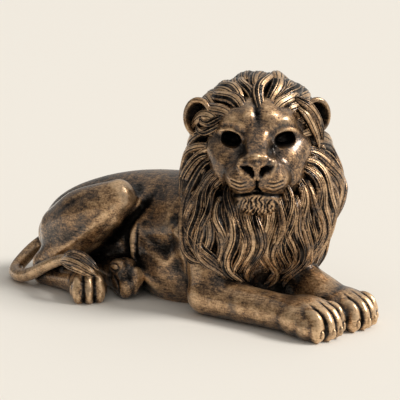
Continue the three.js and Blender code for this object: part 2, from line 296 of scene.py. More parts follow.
def limb(points, up=(0, 0, 1), blunt=0.7, sides=72, rows=72):
    """A bar of flesh on a smooth path. Each point is x, y, z, half width and half height, where one
    half size may stand for both. At share s and angle a the skin is at middle(s) + side * width(s) *
    cos(a) + over * height(s) * sin(a), and beyond each end both sizes shrink as a cosine while the
    middle moves out as the sine."""
    points = np.array([[*p[:3], p[3], p[4] if len(p) > 4 else p[3]] for p in points], float)
    bend = np.linspace(0, math.pi / 2, 8)[1:-1]
    share = np.concatenate([np.zeros(6), np.linspace(0, 1, rows), np.ones(6)])
    shrink = np.concatenate([np.cos(bend[::-1]), np.ones(rows), np.cos(bend)])
    push = np.concatenate([-np.sin(bend[::-1]), np.zeros(rows), np.sin(bend)])
    path = smooth_path(points, share)
    near = smooth_path(points, np.clip(share - 0.01, 0, 1))[:, :3]
    far = smooth_path(points, np.clip(share + 0.01, 0, 1))[:, :3]
    along = unit(far - near)
    side = unit(np.cross(np.array(up, float), along))
    over = np.cross(along, side)
    width, height = path[:, 3], path[:, 4]
    reach = (push * blunt * np.minimum(width, height))[:, None]
    middle = path[:, :3] + along * reach
    angle = np.linspace(0, 2 * math.pi, sides, endpoint=False)
    across = (side * (width * shrink)[:, None])[:, None] * np.cos(angle)[:, None]
    upright = (over * (height * shrink)[:, None])[:, None] * np.sin(angle)[:, None]
    skin = (middle[:, None] + across + upright).reshape(-1, 3)
    ends = path[[0, -1], :3] + along[[0, -1]] * (blunt * path[[0, -1], 3:].min(1) * (-1, 1))[:, None]
    points = np.vstack([skin, ends])
    return points, facing_out(points, tube_faces(len(share), sides))


def turning(turn, tip):
    """The matrix that tips by an angle about y, nose up, then turns by an angle about z."""
    cos_turn, sin_turn = math.cos(turn), math.sin(turn)
    cos_tip, sin_tip = math.cos(tip), math.sin(tip)
    about_z = np.array([[cos_turn, -sin_turn, 0], [sin_turn, cos_turn, 0], [0, 0, 1]])
    about_y = np.array([[cos_tip, 0, -sin_tip], [0, 1, 0], [sin_tip, 0, cos_tip]])
    return about_z @ about_y


def mass(centre, half, turn=0.0, tip=0.0, sides=64, rows=40):
    """A round mass: an ellipsoid with those half sizes, tipped and turned."""
    polar = np.linspace(0, math.pi, rows + 2)[1:-1, None]
    angle = np.linspace(0, 2 * math.pi, sides, endpoint=False)[None]
    level = np.sin(polar)
    round_one = np.stack([level * np.cos(angle), level * np.sin(angle), np.cos(polar) + 0 * angle], -1)
    round_one = np.vstack([round_one.reshape(-1, 3), [[0, 0, 1], [0, 0, -1]]])
    points = (round_one * half) @ turning(turn, tip).T + centre
    return points, facing_out(points, tube_faces(rows, sides))


def moved(shell, matrix, offset):
    """A shell turned by a matrix, then shifted."""
    points, faces = shell
    return points @ np.asarray(matrix).T + offset, faces


def stacked(shells):
    """Several shells as one list of points and one of faces."""
    starts = np.cumsum([0] + [len(points) for points, _ in shells[:-1]])
    points = np.vstack([points for points, _ in shells])
    faces = np.vstack([faces + start for (_, faces), start in zip(shells, starts)])
    return points, faces


def filled_mesh(name, points, faces):
    """A mesh in metres from points in millimetres and faces with the same number of corners each."""
    mesh = bpy.data.meshes.new(name)
    count, corners = faces.shape
    mesh.vertices.add(len(points))
    mesh.vertices.foreach_set("co", (points * MM).astype(np.float32).ravel())
    mesh.loops.add(count * corners)
    mesh.loops.foreach_set("vertex_index", faces.astype(np.int32).ravel())
    mesh.polygons.add(count)
    mesh.polygons.foreach_set("loop_start", np.arange(count, dtype=np.int32) * corners)
    mesh.update(calc_edges=True)
    return mesh


def values_of(items, key, kind, columns):
    """One value of every item of a mesh, as an array with that many columns."""
    values = np.empty(len(items) * columns, kind)
    items.foreach_get(key, values)
    return values.reshape(-1, columns)


def line_distance(points, dense):
    """The distance of points from a line of short straight steps, and how far along it the nearest is."""
    gaps = np.full(len(points), np.inf)
    where = np.zeros(len(points))
    for i, (start, end) in enumerate(zip(dense[:-1], dense[1:])):
        step = end - start
        share = np.clip((points - start) @ step / max(step @ step, 1e-12), 0, 1)
        gap = np.linalg.norm(points - start - share[:, None] * step, axis=1)
        closer = gap < gaps
        gaps[closer] = gap[closer]
        where[closer] = (i + share[closer]) / (len(dense) - 1)
    return gaps, where


def stroke(points, dense, width, height):
    """A line's hold on points at the distance d from it, exp(-(d / width)^2), and height times that.
    Width and height may change along the line."""
    gaps, where = line_distance(points, dense)
    wide = np.interp(where, np.linspace(0, 1, np.size(width)), np.atleast_1d(width))
    high = np.interp(where, np.linspace(0, 1, np.size(height)), np.atleast_1d(height))
    hold = np.exp(-((gaps / wide) ** 2))
    return hold, high * hold


def relief(points, normals, mean, sizes):
    """How far each point stands above its surroundings: for each size, a number of smoothing passes, a
    height and a weight, the height over the smoothed skin, squashed to -1 to 1 by tanh and weighted."""
    total = np.zeros(len(points))
    smooth = points.copy()
    done = 0
    for passes, height, weight in sizes:
        for _ in range(passes - done):
            smooth = 0.5 * (smooth + mean(smooth))
        done = passes
        total += weight * np.tanh(np.sum((points - smooth) * normals, axis=1) / height)
    return total


class Skin:
    """A closed skin of quads wrapped round overlapping shells, in cells of voxel millimetres. It is held
    as arrays: points in millimetres, faces, edges, and each point's count of edges."""

    def __init__(self, shells, voxel):
        mesh = filled_mesh("shells", *stacked(shells))
        body = bpy.data.objects.new("shells", mesh)
        scene.collection.objects.link(body)
        remesh = body.modifiers.new("skin", "REMESH")
        remesh.mode = "VOXEL"
        remesh.voxel_size = voxel * MM
        made = body.evaluated_get(bpy.context.evaluated_depsgraph_get()).data
        self.points = values_of(made.vertices, "co", np.float32, 3).astype(float) / MM
        self.faces = values_of(made.loops, "vertex_index", np.int32, 1).reshape(-1, 4)
        self.edges = values_of(made.edges, "vertices", np.int32, 2)
        self.valence = np.bincount(self.edges.ravel(), minlength=len(self.points))
        bpy.data.objects.remove(body)

    def shell(self):
        """The skin as triangles, each quad cut on one diagonal."""
        return self.points, np.vstack([self.faces[:, [0, 1, 2]], self.faces[:, [0, 2, 3]]])

    def mean(self, values):
        """Each point's mean of a value over the points that it shares an edge with."""
        start, end = self.edges.T
        total = np.empty_like(values)
        for column in range(values.shape[1]):
            one = values[:, column]
            total[:, column] = np.bincount(start, one[end], len(values))
            total[:, column] += np.bincount(end, one[start], len(values))
        return total / self.valence[:, None]

    def normals(self):
        """Each point's normal: the sum of the crossed diagonals of its faces, made a unit long."""
        corners = self.points[self.faces]
        facing = np.cross(corners[:, 2] - corners[:, 0], corners[:, 3] - corners[:, 1])
        total = np.zeros_like(self.points)
        for column in range(3):
            spread = np.repeat(facing[:, column], 4)
            total[:, column] = np.bincount(self.faces.ravel(), spread, len(self.points))
        return unit(total)

    def melt(self, passes):
        """Fills creases and leaves ridges: a point below its neighbours' mean rises to it, and every
        point slides level to keep the net even."""
        for _ in range(passes):
            normals = self.normals()
            step = self.mean(self.points) - self.points
            rise = np.sum(step * normals, axis=1, keepdims=True)
            level = step - rise * normals
            self.points += level * 0.4 + normals * np.maximum(rise, 0)

    def soften(self, passes):
        """Moves each point half way to its neighbours' mean."""
        for _ in range(passes):
            self.points += 0.5 * (self.mean(self.points) - self.points)

    def draw(self, path, width, height, flat=None, share=None):
        """Raises the skin along a line, or cuts it where height is negative, by
        height * exp(-(d / width)^2) with d the distance from the line. With flat, a pair of axes, the
        line is drawn on that plane and d is measured on it. Share is the part that each point takes."""
        dense = smooth_path(path, np.linspace(0, 1, 12 * len(path)))
        seen = self.points if flat is None else self.points[:, flat]
        reach = 3 * np.max(width)
        inside = np.all((seen > dense.min(0) - reach) & (seen < dense.max(0) + reach), axis=1)
        chosen = np.flatnonzero(inside)
        if len(chosen) == 0:
            return
        move = stroke(seen[chosen], dense, width, height)[1] * (1 if share is None else share[chosen])
        self.points[chosen] += self.normals()[chosen] * move[:, None]


def finished(name, points, faces, crest, most=None, strand=None):
    """The piece: its mesh with the crest attribute, smooth shaded, in bronze and riding on the lion. With
    most, its flat stretches are thinned out until it has no more triangles than that. Strand counts the
    strands of hair across a lock."""
    mesh = filled_mesh(name, points, faces)
    mesh.polygons.foreach_set("use_smooth", np.ones(len(faces), bool))
    layer = mesh.attributes.new("crest", "FLOAT", "POINT")
    layer.data.foreach_set("value", np.clip(crest, 0, 1).astype(np.float32))
    if strand is not None:
        layer = mesh.attributes.new("strand", "FLOAT", "POINT")
        layer.data.foreach_set("value", strand.astype(np.float32))
    mesh.materials.append(bronze)
    piece = bpy.data.objects.new(name, mesh)
    scene.collection.objects.link(piece)
    triangles = len(faces) * (faces.shape[1] - 2)
    if most and triangles > most:
        thin = piece.modifiers.new("thin", "DECIMATE")
        thin.ratio = most / triangles
    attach(piece, "root")
    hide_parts("lion")


SHOULDERS = [
    {"centre": [30, -34, 62], "half": [34, 17, 40], "tip": -0.2},
    {"centre": [30, 26, 62], "half": [34, 17, 40], "tip": -0.2},
]
CHEST = {"centre": [42, -9, 50], "half": [44, 38, 50], "tip": 0.0}


def torso():
    """The trunk from the chest to the root of the tail, the belly's roll, the shoulders and the chest."""
    trunk = [
        [64, -12, 46, 32, 44],
        [30, -6, 50, 40, 54],
        [-20, 0, 50, 41, 53],
        [-60, 0, 48, 38, 51],
        [-92, -4, 44, 35, 47],
        [-118, -14, 36, 32, 42],
        [-136, -24, 25, 25, 30],
    ]
    belly = mass([-6, -18, 26], [44, 27, 34])
    return [limb(trunk, blunt=0.6), belly, *[mass(**one) for one in (*SHOULDERS, CHEST)]]


def hind_quarters():
    """The right thigh folded over its shank and long hock, the left hock and the left haunch."""
    thigh = [[-49, -43, 86, 13, 14], [-64, -46, 75, 18, 21], [-88, -47, 60, 20, 27], [-118, -42, 41, 19, 26]]
    haunch = [[-120, 8, 30, 26, 30], [-92, 24, 36, 27, 38], [-60, 34, 28, 19, 28], [-38, 34, 18, 13, 18]]
    return [
        limb(thigh, blunt=0.8),
        limb([[-54, -48, 72, 10, 14], [-92, -54, 44, 12, 15], [-128, -56, 16, 10, 12]]),
        limb([[-130, -56, 9, 9, 10], [-102, -60, 10, 9, 10], [-74, -66, 12, 11, 12]]),
        limb([[-84, -22, 14, 14, 14], [-56, -38, 14, 11, 14], [-42, -46, 15, 10, 14]]),
        limb(haunch),
    ]


def fore_legs():
    """The right arm, which bears the chest, and the left one, which lies a little further forward."""
    right = [[38, -47, 16, 15, 16], [72, -47, 15, 14, 15], [106, -46, 14, 15, 14], [124, -44, 14, 18, 14]]
    left = [
        [50, 24, 24, 17, 24],
        [84, 11, 22, 15, 22],
        [112, -1, 19, 15, 19],
        [130, -7, 16, 17, 16],
        [146, -7, 12, 15, 11],
    ]
    upright = (1, 0, 0)
    return [
        limb([[32, -36, 76, 14, 20], [36, -42, 44, 15, 18], [41, -45, 20, 15, 16]], upright, blunt=1),
        limb(right, blunt=1),
        limb([[38, 28, 70, 13, 20], [44, 24, 24, 16, 20]], upright),
        limb(left),
    ]


TOE_SET_BACK = 0.18
TOE_GATHER = 0.93
CLAW_RIM = {"out": 1.5, "half_width": 2.7, "height": 7, "half_height": 4.4}


def toes_of(length, width, toes):
    """Half a toe's width, how far each toe's middle lies to the side of the paw's, and how far each
    reaches to the front, the outer ones less."""
    thick = width / toes / 2 * 1.1
    sides = np.linspace(-1, 1, toes) * (width / 2 - thick)
    reaches = length / 2 * (1 - TOE_SET_BACK * (sides / sides[-1]) ** 2)
    return thick, sides, reaches


def paw(length, width, height, place, turn, toes=4):
    """A broad pad whose front is parted into short blunt toes, each a knuckle over a tip with a claw."""
    half = length / 2
    thick, sides, reaches = toes_of(length, width, toes)
    shells = [
        mass([-half * 0.14, 0, height * 0.47], [half, width * 0.52, height * 0.57]),
        mass([half * 0.24, 0, height * 0.38], [half * 0.66, width * 0.52, height * 0.54]),
    ]
    for out, reach in zip(sides, reaches):
        tip_out = out * TOE_GATHER
        claw = [2.4, 2.2, height * 0.17]
        shells += [
            mass([reach * 0.48, out * 0.9, height * 0.52], [half * 0.42, thick * 0.85, height * 0.37]),
            mass([reach * 0.76, tip_out, height * 0.35], [half * 0.23, thick * 0.9, height * 0.36]),
            mass([reach * 0.97, tip_out, height * 0.26], claw, sides=24, rows=16),
        ]
    return [moved(shell, turning(turn, 0), [*place, 0]) for shell in shells]


def toe_grooves(length, width, height, place, turn, toes=4):
    """The lines between the toes, seen from above."""
    half = length / 2
    sides = toes_of(length, width, toes)[1]
    lines = []
    for out in (sides[1:] + sides[:-1]) / 2:
        line = np.array([[half * 0.22, out * 0.85], [half * 0.5, out * 0.92], [half * 1.1, out * 0.94]])
        lines.append(line @ turning(turn, 0)[:2, :2].T + place)
    return lines


def claw_rims(length, width, height, place, turn, toes=4):
    """An upright oval round the claw at the front of each toe."""
    around = np.linspace(0, 2 * math.pi, 9)
    _, sides, reaches = toes_of(length, width, toes)
    rims = []
    for out, reach in zip(sides, reaches):
        x = reach + CLAW_RIM["out"] - np.abs(np.sin(around))
        y = out * TOE_GATHER + CLAW_RIM["half_width"] * np.sin(around)
        z = CLAW_RIM["height"] + CLAW_RIM["half_height"] * np.cos(around)
        rims.append(np.stack([x, y, z], -1) @ turning(turn, 0).T + [*place, 0])
    return rims


def tucked_paw():
    """The left hind paw, seen on its side under the belly: a round knuckle over two pads."""
    return [
        mass([-44, -47, 17], [13, 11, 17]),
        mass([-47, -52, 27], [10, 7, 6.5], turn=-0.4, tip=0.35),
        mass([-39, -53, 11], [8, 6, 10]),
        mass([-33, -47, 15], [6, 7, 12]),
    ]


PAWS = [
    {**FORE_PAW, "place": [131, -43], "turn": -0.1},
    {**FORE_PAW, "place": [140, -6], "turn": -0.04},
    {**HIND_PAW, "place": [-64, -71], "turn": -0.8, "toes": 3},
]


def paws():
    """Both fore paws, the right hind paw and the tucked left one."""
    return [shell for one in PAWS for shell in paw(**one)] + tucked_paw()


def tail():
    """A smooth round tail from the rump, bent on the table and laid forward over the right hock."""
    path = [[-140, -20, 38, 6.5], [-160, -32, 22, 6.5], [-162, -54, 8, 6.2], [-146, -67, 7, 6]]
    path += [[-128, -71, 12, 5.6], [-109, -74, 22, 5], [-92, -75, 30, 4.6], [-78, -77, 35, 4.2]]
    return [limb(path, sides=24, rows=72)]


HEAD_CENTRE = np.array([55, 1, 127])
HEAD_TURN = math.radians(-55)
HEAD_LIFT = math.radians(6)
HEAD = turning(HEAD_TURN, HEAD_LIFT)
HOOD_MIDDLE = np.array([-8.0, 0, -12])
HOOD = [
    {"centre": [-12, 2, 7], "half": [42, 51, 53]},
    {"centre": [-10, 6, -28], "half": [40, 61, 46]},
    {"centre": [2, 5, -58], "half": [34, 51, 60]},
    {"centre": [-30, -16, -22], "half": [46, 37, 44]},
]


def hood():
    """The bulk under the mane, in the head's own frame turned into the lion's."""
    return [moved(mass(**bulk, sides=60, rows=40), HEAD, HEAD_CENTRE) for bulk in HOOD]


def in_head(points):
    """Points of the lion's frame in the head's frame."""
    return (points - HEAD_CENTRE) @ HEAD


flesh = Skin([*torso(), *hind_quarters(), *fore_legs(), *hood()], FLESH_VOXEL)
flesh.melt(24)
flesh.soften(3)

# The bulk under the mane keeps behind the face: the more a point lies to the front, the more of its
# way out from the hood's middle is taken back.
HOOD_REACH = 85
MOST_TAKEN_BACK = 0.40
away = in_head(flesh.points) - HOOD_MIDDLE
reach = np.linalg.norm(away, axis=1)
opening = np.arccos(np.clip(away[:, 0] / reach, -1, 1))
taken_back = MOST_TAKEN_BACK * np.clip((math.radians(88) - opening) / math.radians(20), 0, 1)
taken_back *= reach < HOOD_REACH
flesh.points -= (away * taken_back[:, None]) @ HEAD.T

body = Skin([flesh.shell(), *paws(), *tail()], BODY_VOXEL)
body.melt(6)
body.soften(3)

# The grooves between the toes, the rims of the fore claws and the swirl on the tucked paw's knuckle.
for one in PAWS:
    depth = one["length"] / FORE_PAW["length"]
    for line in toe_grooves(**one):
        on_paw = np.clip((31 - body.points[:, 2]) / 6, 0, 1)
        body.draw(line, [1.1, 1.2, 1.1], np.array([-0.5, -1.5, -1.2]) * depth, [0, 1], on_paw)
for one in PAWS[:2]:
    for rim in claw_rims(**one):
        body.draw(rim, 0.9, -0.9)
swirl = [[-54, -57, 27], [-50, -58, 31], [-44, -59, 31], [-41, -59, 27], [-45, -59, 24], [-49, -58.5, 26]]
body.draw(swirl, 1.2, [-0.6, -1.6, -1.6, -1.6, -1.4, -0.8])
body.draw([[-46, -58, 19], [-42, -59, 12], [-43, -57, 4]], 1.3, [-1.0, -2.2, -2.0])
body.points[:, 2] = np.maximum(body.points[:, 2], 0)

# Folds and sinews of the right flank. The thigh's are drawn on its side, by x and z.
ON_SIDE = [0, 2]
on_thigh = np.clip((-body.points[:, 1] - 22) / 14, 0, 1)
thigh_rim = [[-122, 52], [-101, 73], [-80, 86], [-58, 95], [-44, 97], [-37, 92], [-36, 84], [-43, 73]]
round_knee = [[-60, 106], [-40, 106], [-28, 98], [-27, 87], [-33, 76], [-42, 64], [-52, 53], [-64, 42]]
shin = [[-45, 79], [-58, 66], [-68, 57], [-77, 50], [-90, 41], [-103, 33]]
body.draw(thigh_rim, 4.2, [0.2, 0.5, 0.4, 0.4, 0.6, 1.0, 1.2, 0.4], ON_SIDE, on_thigh)
body.draw(round_knee, 3.6, [-0.3, -0.7, -1.0, -1.3, -1.7, -2.2, -2.4, -1.0], ON_SIDE, on_thigh)
body.draw(shin, 4.0, [0.5, 1.3, 1.5, 1.4, 1.0, 0.3], ON_SIDE, on_thigh)
sinew = [[-128, 45], [-106, 66], [-84, 80], [-62, 90]]
body.draw(sinew, 3.4, [-0.3, -0.7, -0.7, -0.2], ON_SIDE, on_thigh)
# The knee's rim, the folds from the knee to the groin with the hollows beside them, the belly's edge,
# the groove behind the arm and the last rib.
body.draw([[-39.5, -31, 86], [-36.5, -36.4, 79], [-39.5, -41, 70]], 2.6, [0.3, 1.2, 0.3])
flank_fold = [[-38, -39, 64], [-41.5, -39, 52], [-42.5, -39, 43], [-41, -38.5, 35], [-37.5, -39.5, 29]]
body.draw(flank_fold, 2.8, [0.3, 1.5, 1.8, 1.8, 0.8])
fold_groove = [[-36, -39, 62], [-36.5, -39.5, 50.5], [-37.2, -39, 42], [-36, -39, 33]]
body.draw(fold_groove, 1.3, [-0.3, -0.9, -0.9, -0.3])
body.draw([[-47, -38, 60], [-49, -38, 48], [-47, -38, 36]], 3.6, [-0.8, -2.0, -1.4])
groin_fold = [[-36, -41, 28], [-29.5, -41.5, 22], [-21.5, -42, 15.5], [-10, -44, 9]]
body.draw(groin_fold, 5.0, [1.2, 2.6, 2.4, 0.8])
body.draw([[-43, -41, 24], [-37, -42, 15], [-29, -44, 7]], 4.5, [-2.5, -4.0, -2.5])
belly_edge = [[-24, -41, 42], [-12, -43.5, 38], [-3, -44, 35.5], [5, -44.5, 41], [16, -49, 47]]
body.draw(belly_edge, 4.6, [0.3, 1.2, 1.2, 1.4, 0.8])
body.draw([[-22, -41, 51], [-6, -43, 47], [8, -45, 55]], 6.0, [-0.5, -1.3, -0.8])
body.draw([[20, -50, 60], [21, -51, 43], [20, -48, 27], [24, -50, 12]], 2.8, [-1.4, -2.8, -3.0, -2.0])
body.draw([[-20, -14, 99], [-22, -30, 87], [-25, -37, 74], [-25, -41, 55]], 8.0, [-0.2, -0.9, -1.0, -0.4])
body.draw([[-2, -16, 98], [-6, -34, 82], [-6, -42, 62]], 7.0, [0.2, 0.8, 0.3])

# The crest of the body, with painted shade taken off it: darker behind the tucked paw under the thigh,
# near the ground, on the rump and most on its upward faces, and under the hair.
in_hood = [np.linalg.norm((in_head(body.points) - one["centre"]) / one["half"], axis=1) for one in HOOD]
shade_under_hair = np.clip((1.05 - np.min(in_hood, axis=0)) / 0.06, 0, 1)
by_tucked_paw = np.linalg.norm((body.points - [-43, -50, 14]) / [17, 16, 24], axis=1)
shade_near_ground = np.clip(1 - body.points[:, 2] / 13, 0, 1)
shade_on_rump = np.clip((-40 - body.points[:, 0]) / 50, 0, 1)
upward = np.clip(body.normals()[:, 2], 0, 1)
BODY_RELIEF = [(10, 0.14, 0.18), (60, 0.8, 0.26), (240, 2.4, 0.16)]
body_crest_and_shade = 0.49 + relief(body.points, body.normals(), body.mean, BODY_RELIEF)
body_crest_and_shade -= 0.28 * np.clip(1.3 - by_tucked_paw, 0, 0.5) / 0.5
body_crest_and_shade -= 0.16 * shade_near_ground + (0.07 + 0.12 * upward) * shade_on_rump + 0.4 * shade_under_hair
finished("lion_body", body.points, body.faces, body_crest_and_shade, BODY_FACES)


# The head: a broad face turned to the right, cast with the body, with deep hollow eyes under arched
# lids, a long flat nose, full muzzle lobes with whisker rows, a tufted chin and round cupped ears.
# Its skin is worked out from masses that flow into each other, and features are drawn from in front.
FACE_TURN = math.radians(-4.5)
EAR_OUT = {1: 45.5, -1: -48}
EAR_HEIGHT = 25
EAR_RADIUS = 14.5
EAR_SCALE = {1: 0.9, -1: 1.0}
EAR_TURN = 0.42
EAR_TIP = -0.05
FACE = HEAD @ turning(FACE_TURN, 0)
FACE_CENTRE = HEAD_CENTRE + HEAD @ np.array([0, 1.5, 0])
FACE_MIDDLE = np.array([4.0, 0, -6])
FACE_BLEND = 3.2
FACE_ROWS = 250
FACE_SIDES = 340
FACE_OPEN = math.radians(128)
OUTSIDE_FACE = 95.0
FROM_FRONT = [1, 2]


def ball(centre, half, tip=0.0):
    """An ellipsoid as its centre, its half sizes and the axes they lie along."""
    return {"centre": np.array(centre, float), "half": np.array(half, float), "axes": turning(0, tip)}


def blended_distance(points, balls, blend):
    """The smooth minimum -k ln(sum(exp(-d / k))) of the distances d to some ellipsoids, negative inside.
    d is taken as r (r - 1) / g, with r the distance in half sizes and g how fast r grows."""
    total = 0
    for one in balls:
        local = (points - one["centre"]) @ one["axes"]
        near = local / one["half"]
        reach = np.linalg.norm(near, axis=-1)
        slope = np.linalg.norm(near / one["half"], axis=-1)
        total = total + np.exp(-np.clip(reach * (reach - 1) / slope / blend, -60, 60))
    return -blend * np.log(total)


def face_masses():
    """Skull, forehead, bridge of the nose, root of the muzzle, nose, jaw and chin, and on either side the
    brow, the cheek bone, the flank of the nose, the cheek and the lobe of the lip."""
    masses = [
        ball([-4, 0, 12], [35, 40, 36]),
        ball([10, 0, 24], [22, 28, 18]),
        ball([37, 0, 7], [24, 10, 8], tip=-0.68),
        ball([28, 0, -14], [25, 19, 16]),
        ball([52, 0, -7], [6, 13, 7]),
        ball([18, 0, -34], [24, 21, 14]),
        ball([35, 0, -40], [9, 18, 8]),
    ]
    for side in (1, -1):
        masses += [
            ball([20, side * 13, 24], [11, 13, 8]),
            ball([8, side * 28, 2], [17, 14, 16]),
            ball([19, side * 19.5, -6], [15, 15, 15]),
            ball([8, side * 24, -18], [22, 15, 19]),
            ball([40, side * 11, -19], [13, 13, 10.5]),
        ]
    return masses


class Mask:
    """A face on a polar grid: rings of points by their angle open from the face's axis and their turn
    round it. A point stands where its ray from the middle of the head leaves the blended masses,
    found by stepping in from outside by the distance that is left."""

    def __init__(self, masses):
        open_angle = np.linspace(0, FACE_OPEN, FACE_ROWS + 1)[1:, None]
        turn = np.linspace(0, 2 * math.pi, FACE_SIDES, endpoint=False)[None]
        out = np.sin(open_angle)
        rays = np.stack([np.cos(open_angle) + 0 * turn, out * np.sin(turn), out * np.cos(turn)], -1)
        rays = np.vstack([rays.reshape(-1, 3), [[1, 0, 0], [-1, 0, 0]]])
        reach = np.full(len(rays), OUTSIDE_FACE)
        for _ in range(40):
            reach -= 0.8 * blended_distance(FACE_MIDDLE + rays * reach[:, None], masses, FACE_BLEND)
        self.points = FACE_MIDDLE + rays * reach[:, None]
        self.points[-1] = FACE_MIDDLE + [-20, 0, 0]
        self.faces = facing_out(self.points, tube_faces(FACE_ROWS, FACE_SIDES))
        self.shade = np.zeros(len(self.points))

    def grid(self, values):
        """Values of the points, without the two poles, by ring and turn."""
        return values[:-2].reshape(FACE_ROWS, FACE_SIDES, -1)

    def normals(self):
        """The cross product of the steps along the rings and across them."""
        points = self.grid(self.points)
        across = np.gradient(points, axis=0)
        round_it = np.roll(points, -1, axis=1) - np.roll(points, 1, axis=1)
        normals = unit(np.cross(round_it, across))
        normals *= np.sign(np.sum(normals * (points - FACE_MIDDLE), axis=-1, keepdims=True))
        return np.vstack([normals.reshape(-1, 3), [[1, 0, 0], [-1, 0, 0]]])

    def mean(self, values):
        """Each point's mean over its four neighbours on the grid, and the front pole's over its ring."""
        grid = self.grid(values)
        padded = np.concatenate([grid[:1], grid, grid[-1:]])
        total = (padded[:-2] + padded[2:] + np.roll(grid, 1, axis=1) + np.roll(grid, -1, axis=1)) / 4
        return np.vstack([total.reshape(len(values) - 2, -1), grid[:1].mean(axis=1), values[-1:]])

    def fill(self, passes):
        """Rounds the creases where masses meet: a point below its neighbours' mean rises to it."""
        for _ in range(passes):
            step = self.mean(self.points) - self.points
            rise = np.sum(step * self.normals(), axis=1, keepdims=True)
            self.points += step * np.where(rise > 0, 1.0, 0.12)

    def line(self, path, width, height, both=True, dark=0.0):
        """Raises the skin along a line drawn from in front, or cuts it where height is negative, by
        height * exp(-(d / width)^2), and paints shade on it by dark in the same way. With both, it is drawn
        on either side of the face."""
        dense = smooth_path(path, np.linspace(0, 1, 8 * len(path)))
        margin = 16
        for side in (1, -1) if both else (1,):
            seen = self.points[:, FROM_FRONT] * [side, 1]
            near = np.all((seen > dense.min(0) - margin) & (seen < dense.max(0) + margin), axis=1)
            chosen = np.flatnonzero(near & (self.points[:, 0] > 0))
            hold, move = stroke(seen[chosen], dense, width, height)
            self.points[chosen] += self.normals()[chosen] * move[:, None]
            self.shade[chosen] = np.maximum(self.shade[chosen], dark * hold)


mask = Mask(face_masses())
mask.fill(90)

# The forehead with its furrow, painted dark as shade, and the brows.
furrow = [[-1, 43], [-1.5, 36], [-1, 30], [0, 23]]
mask.line(furrow, width=[3.2, 3.6, 4.0, 3.0], height=[-1.0, -2.4, -1.6, -0.2], both=False, dark=0.28)
mask.line([[7, 38], [8.5, 29], [9, 22]], width=6, height=[0.5, 1.9, 1.0])
mask.line([[6, 17], [13, 22], [22, 24.5], [32, 19]], width=4, height=[0.4, 1.1, 1.4, 0.5])

# The hollows on both sides of the bridge of the nose.
mask.line([[13, 8], [13, 1], [14, -5]], width=4.2, height=[-1.2, -1.8, -0.8])

# The eyes: deep almond hollows under an arched lid, with a tear line painted dark as shade.
EYE_MIDDLE = [20.8, 10.4]
EYE_HALF = [8.6, 5.3]
EYE_SLANT = math.radians(14)
EYE_DEPTH = 13
upper_lid = [[10.5, 8], [14, 14.5], [20.5, 18.2], [27.5, 17.6], [32, 13.5]]
mask.line(upper_lid, width=2.2, height=[0.3, 1.4, 2.0, 1.9, 0.4])
mask.line([[12, 5], [9.5, 0], [9, -6]], width=2.0, height=[-1.0, -0.7, -0.2], dark=0.2)


def eye_depth(points):
    """1 inside the almond and 0 outside, by a smooth step in its own distance, steep under the upper lid
    and gentle below. Also returns how far below the middle each point is."""
    side = np.sign(points[:, 1])
    right = points[:, 1] * side - EYE_MIDDLE[0]
    up = points[:, 2] - EYE_MIDDLE[1]
    along = right * math.cos(EYE_SLANT) + up * math.sin(EYE_SLANT)
    across = up * math.cos(EYE_SLANT) - right * math.sin(EYE_SLANT)
    below = np.clip(-across / EYE_HALF[1], 0, 1)
    along = along / EYE_HALF[0]
    reach = np.sqrt(along**2 + (across / EYE_HALF[1]) ** 2) + 0.25 * along**4
    inside = np.clip((1.2 + 0.15 * below - reach) / (0.45 + 0.75 * below), 0, 1) * (points[:, 0] > 0)
    return inside * inside * (3 - 2 * inside), below


socket, lower_wall = eye_depth(mask.points)

# The nose pad with its nostrils, the lip, the whisker rows and the mouth. The nostrils, the groove
# under the nose, the mouth and the whisker grooves are painted dark as shade.
mask.line([[0, -1.0], [6, -1.5], [11, -4]], width=2.4, height=[1.2, 1.4, 1.2])
mask.line([[12.6, -5], [13.2, -8], [11.8, -11]], width=2.0, height=[1.2, 1.8, 0.8])
mask.line([[0, -7], [0, -18]], width=2.2, height=1.5, both=False)
nostril = [[3.4, -15.8], [5.4, -12.6], [8.6, -11.0], [12.2, -9.6]]
mask.line(nostril, width=[1.4, 2.5, 2.6, 1.4], height=[-3, -7, -6.5, -2.5], dark=1.3)
mask.line([[0, -19], [0, -28]], width=1.2, height=[-1.0, -2.2], both=False, dark=0.6)
mask.line([[1.9, -9], [2.4, -14], [1.0, -18.5]], width=0.9, height=[0.5, 0.9, 0.6])
mouth = [[0, -28.4], [5, -30.6], [13, -32], [22, -32.6]]
mask.line(mouth, width=[1.9, 1.2, 1.1, 1.2], height=[-3.4, -2.2, -2.0, -1.0], dark=0.8)
for row in range(3):
    low = -20.5 - 3.2 * row
    groove = [[8, low - 0.4], [13, low - 1.4], [19.5, low + 0.8]]
    ridge = [[8, low + 1.4], [13, low + 0.2], [19.5, low + 2.4]]
    mask.line(groove, width=0.7, height=[-0.1, -0.6, -0.4], dark=0.25)
    mask.line(ridge, width=0.9, height=[0.1, 0.35, 0.2])

# The chin's tuft, in short curling strokes, its grooves painted dark as shade.
chin_strokes = np.random.default_rng(5)
for step in range(4):
    for across in np.arange(-20, 20.1, 2.5):
        x = across + chin_strokes.uniform(-1.4, 1.4) + 1.6 * (step % 2)
        top = -33.5 - 3.6 * step - 0.012 * across**2 + chin_strokes.uniform(-1.2, 1.2)
        curl = chin_strokes.uniform(-2.2, 2.2)
        groove = np.array([[x, top], [x + curl, top - 2.5], [x + 0.15 * across, top - 5.5]])
        mask.line(groove, width=0.8, height=[-0.2, -0.8, -0.3], both=False, dark=0.28)
        mask.line(groove + [1.3, 0], width=0.8, height=[0.2, 0.7, 0.2], both=False)


